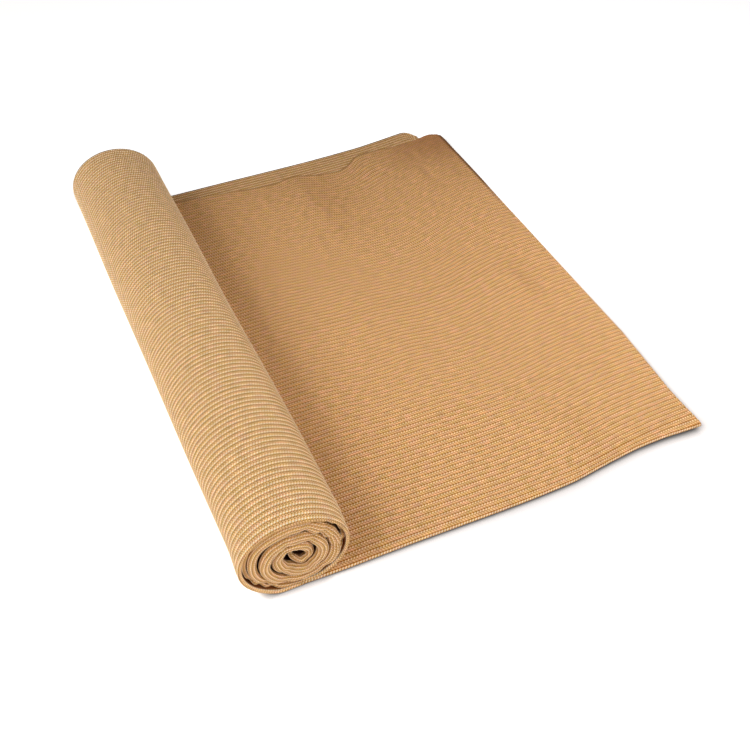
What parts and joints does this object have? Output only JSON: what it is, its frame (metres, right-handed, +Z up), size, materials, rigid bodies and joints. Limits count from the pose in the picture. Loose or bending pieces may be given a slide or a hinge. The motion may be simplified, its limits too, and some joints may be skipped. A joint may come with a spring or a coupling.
{
  "type": "shade net",
  "caption": "Ribbed knitted shade net, folded once along its length and wound into a loose roll, with its free end laid out flat beside the roll.",
  "frame": {"origin": "centre of the bounding box's underside, on the floor", "axes": "+X runs along the laid-out net, away from the roll; +Y runs along the roll, from the folded edge to the selvedges; +Z is up"},
  "size_m": [0.8188, 1.0436, 0.1516],
  "materials": {
    "net_outer_face": "matt knitted tape with pale raised stitch lines",
    "net_inner_face": "matt knitted tape with darker furrows between the ribs"
  },
  "bodies": {
    "root": {"roll": "net_outer_face", "laid_end": "net_inner_face"}
  },
  "joints": []
}
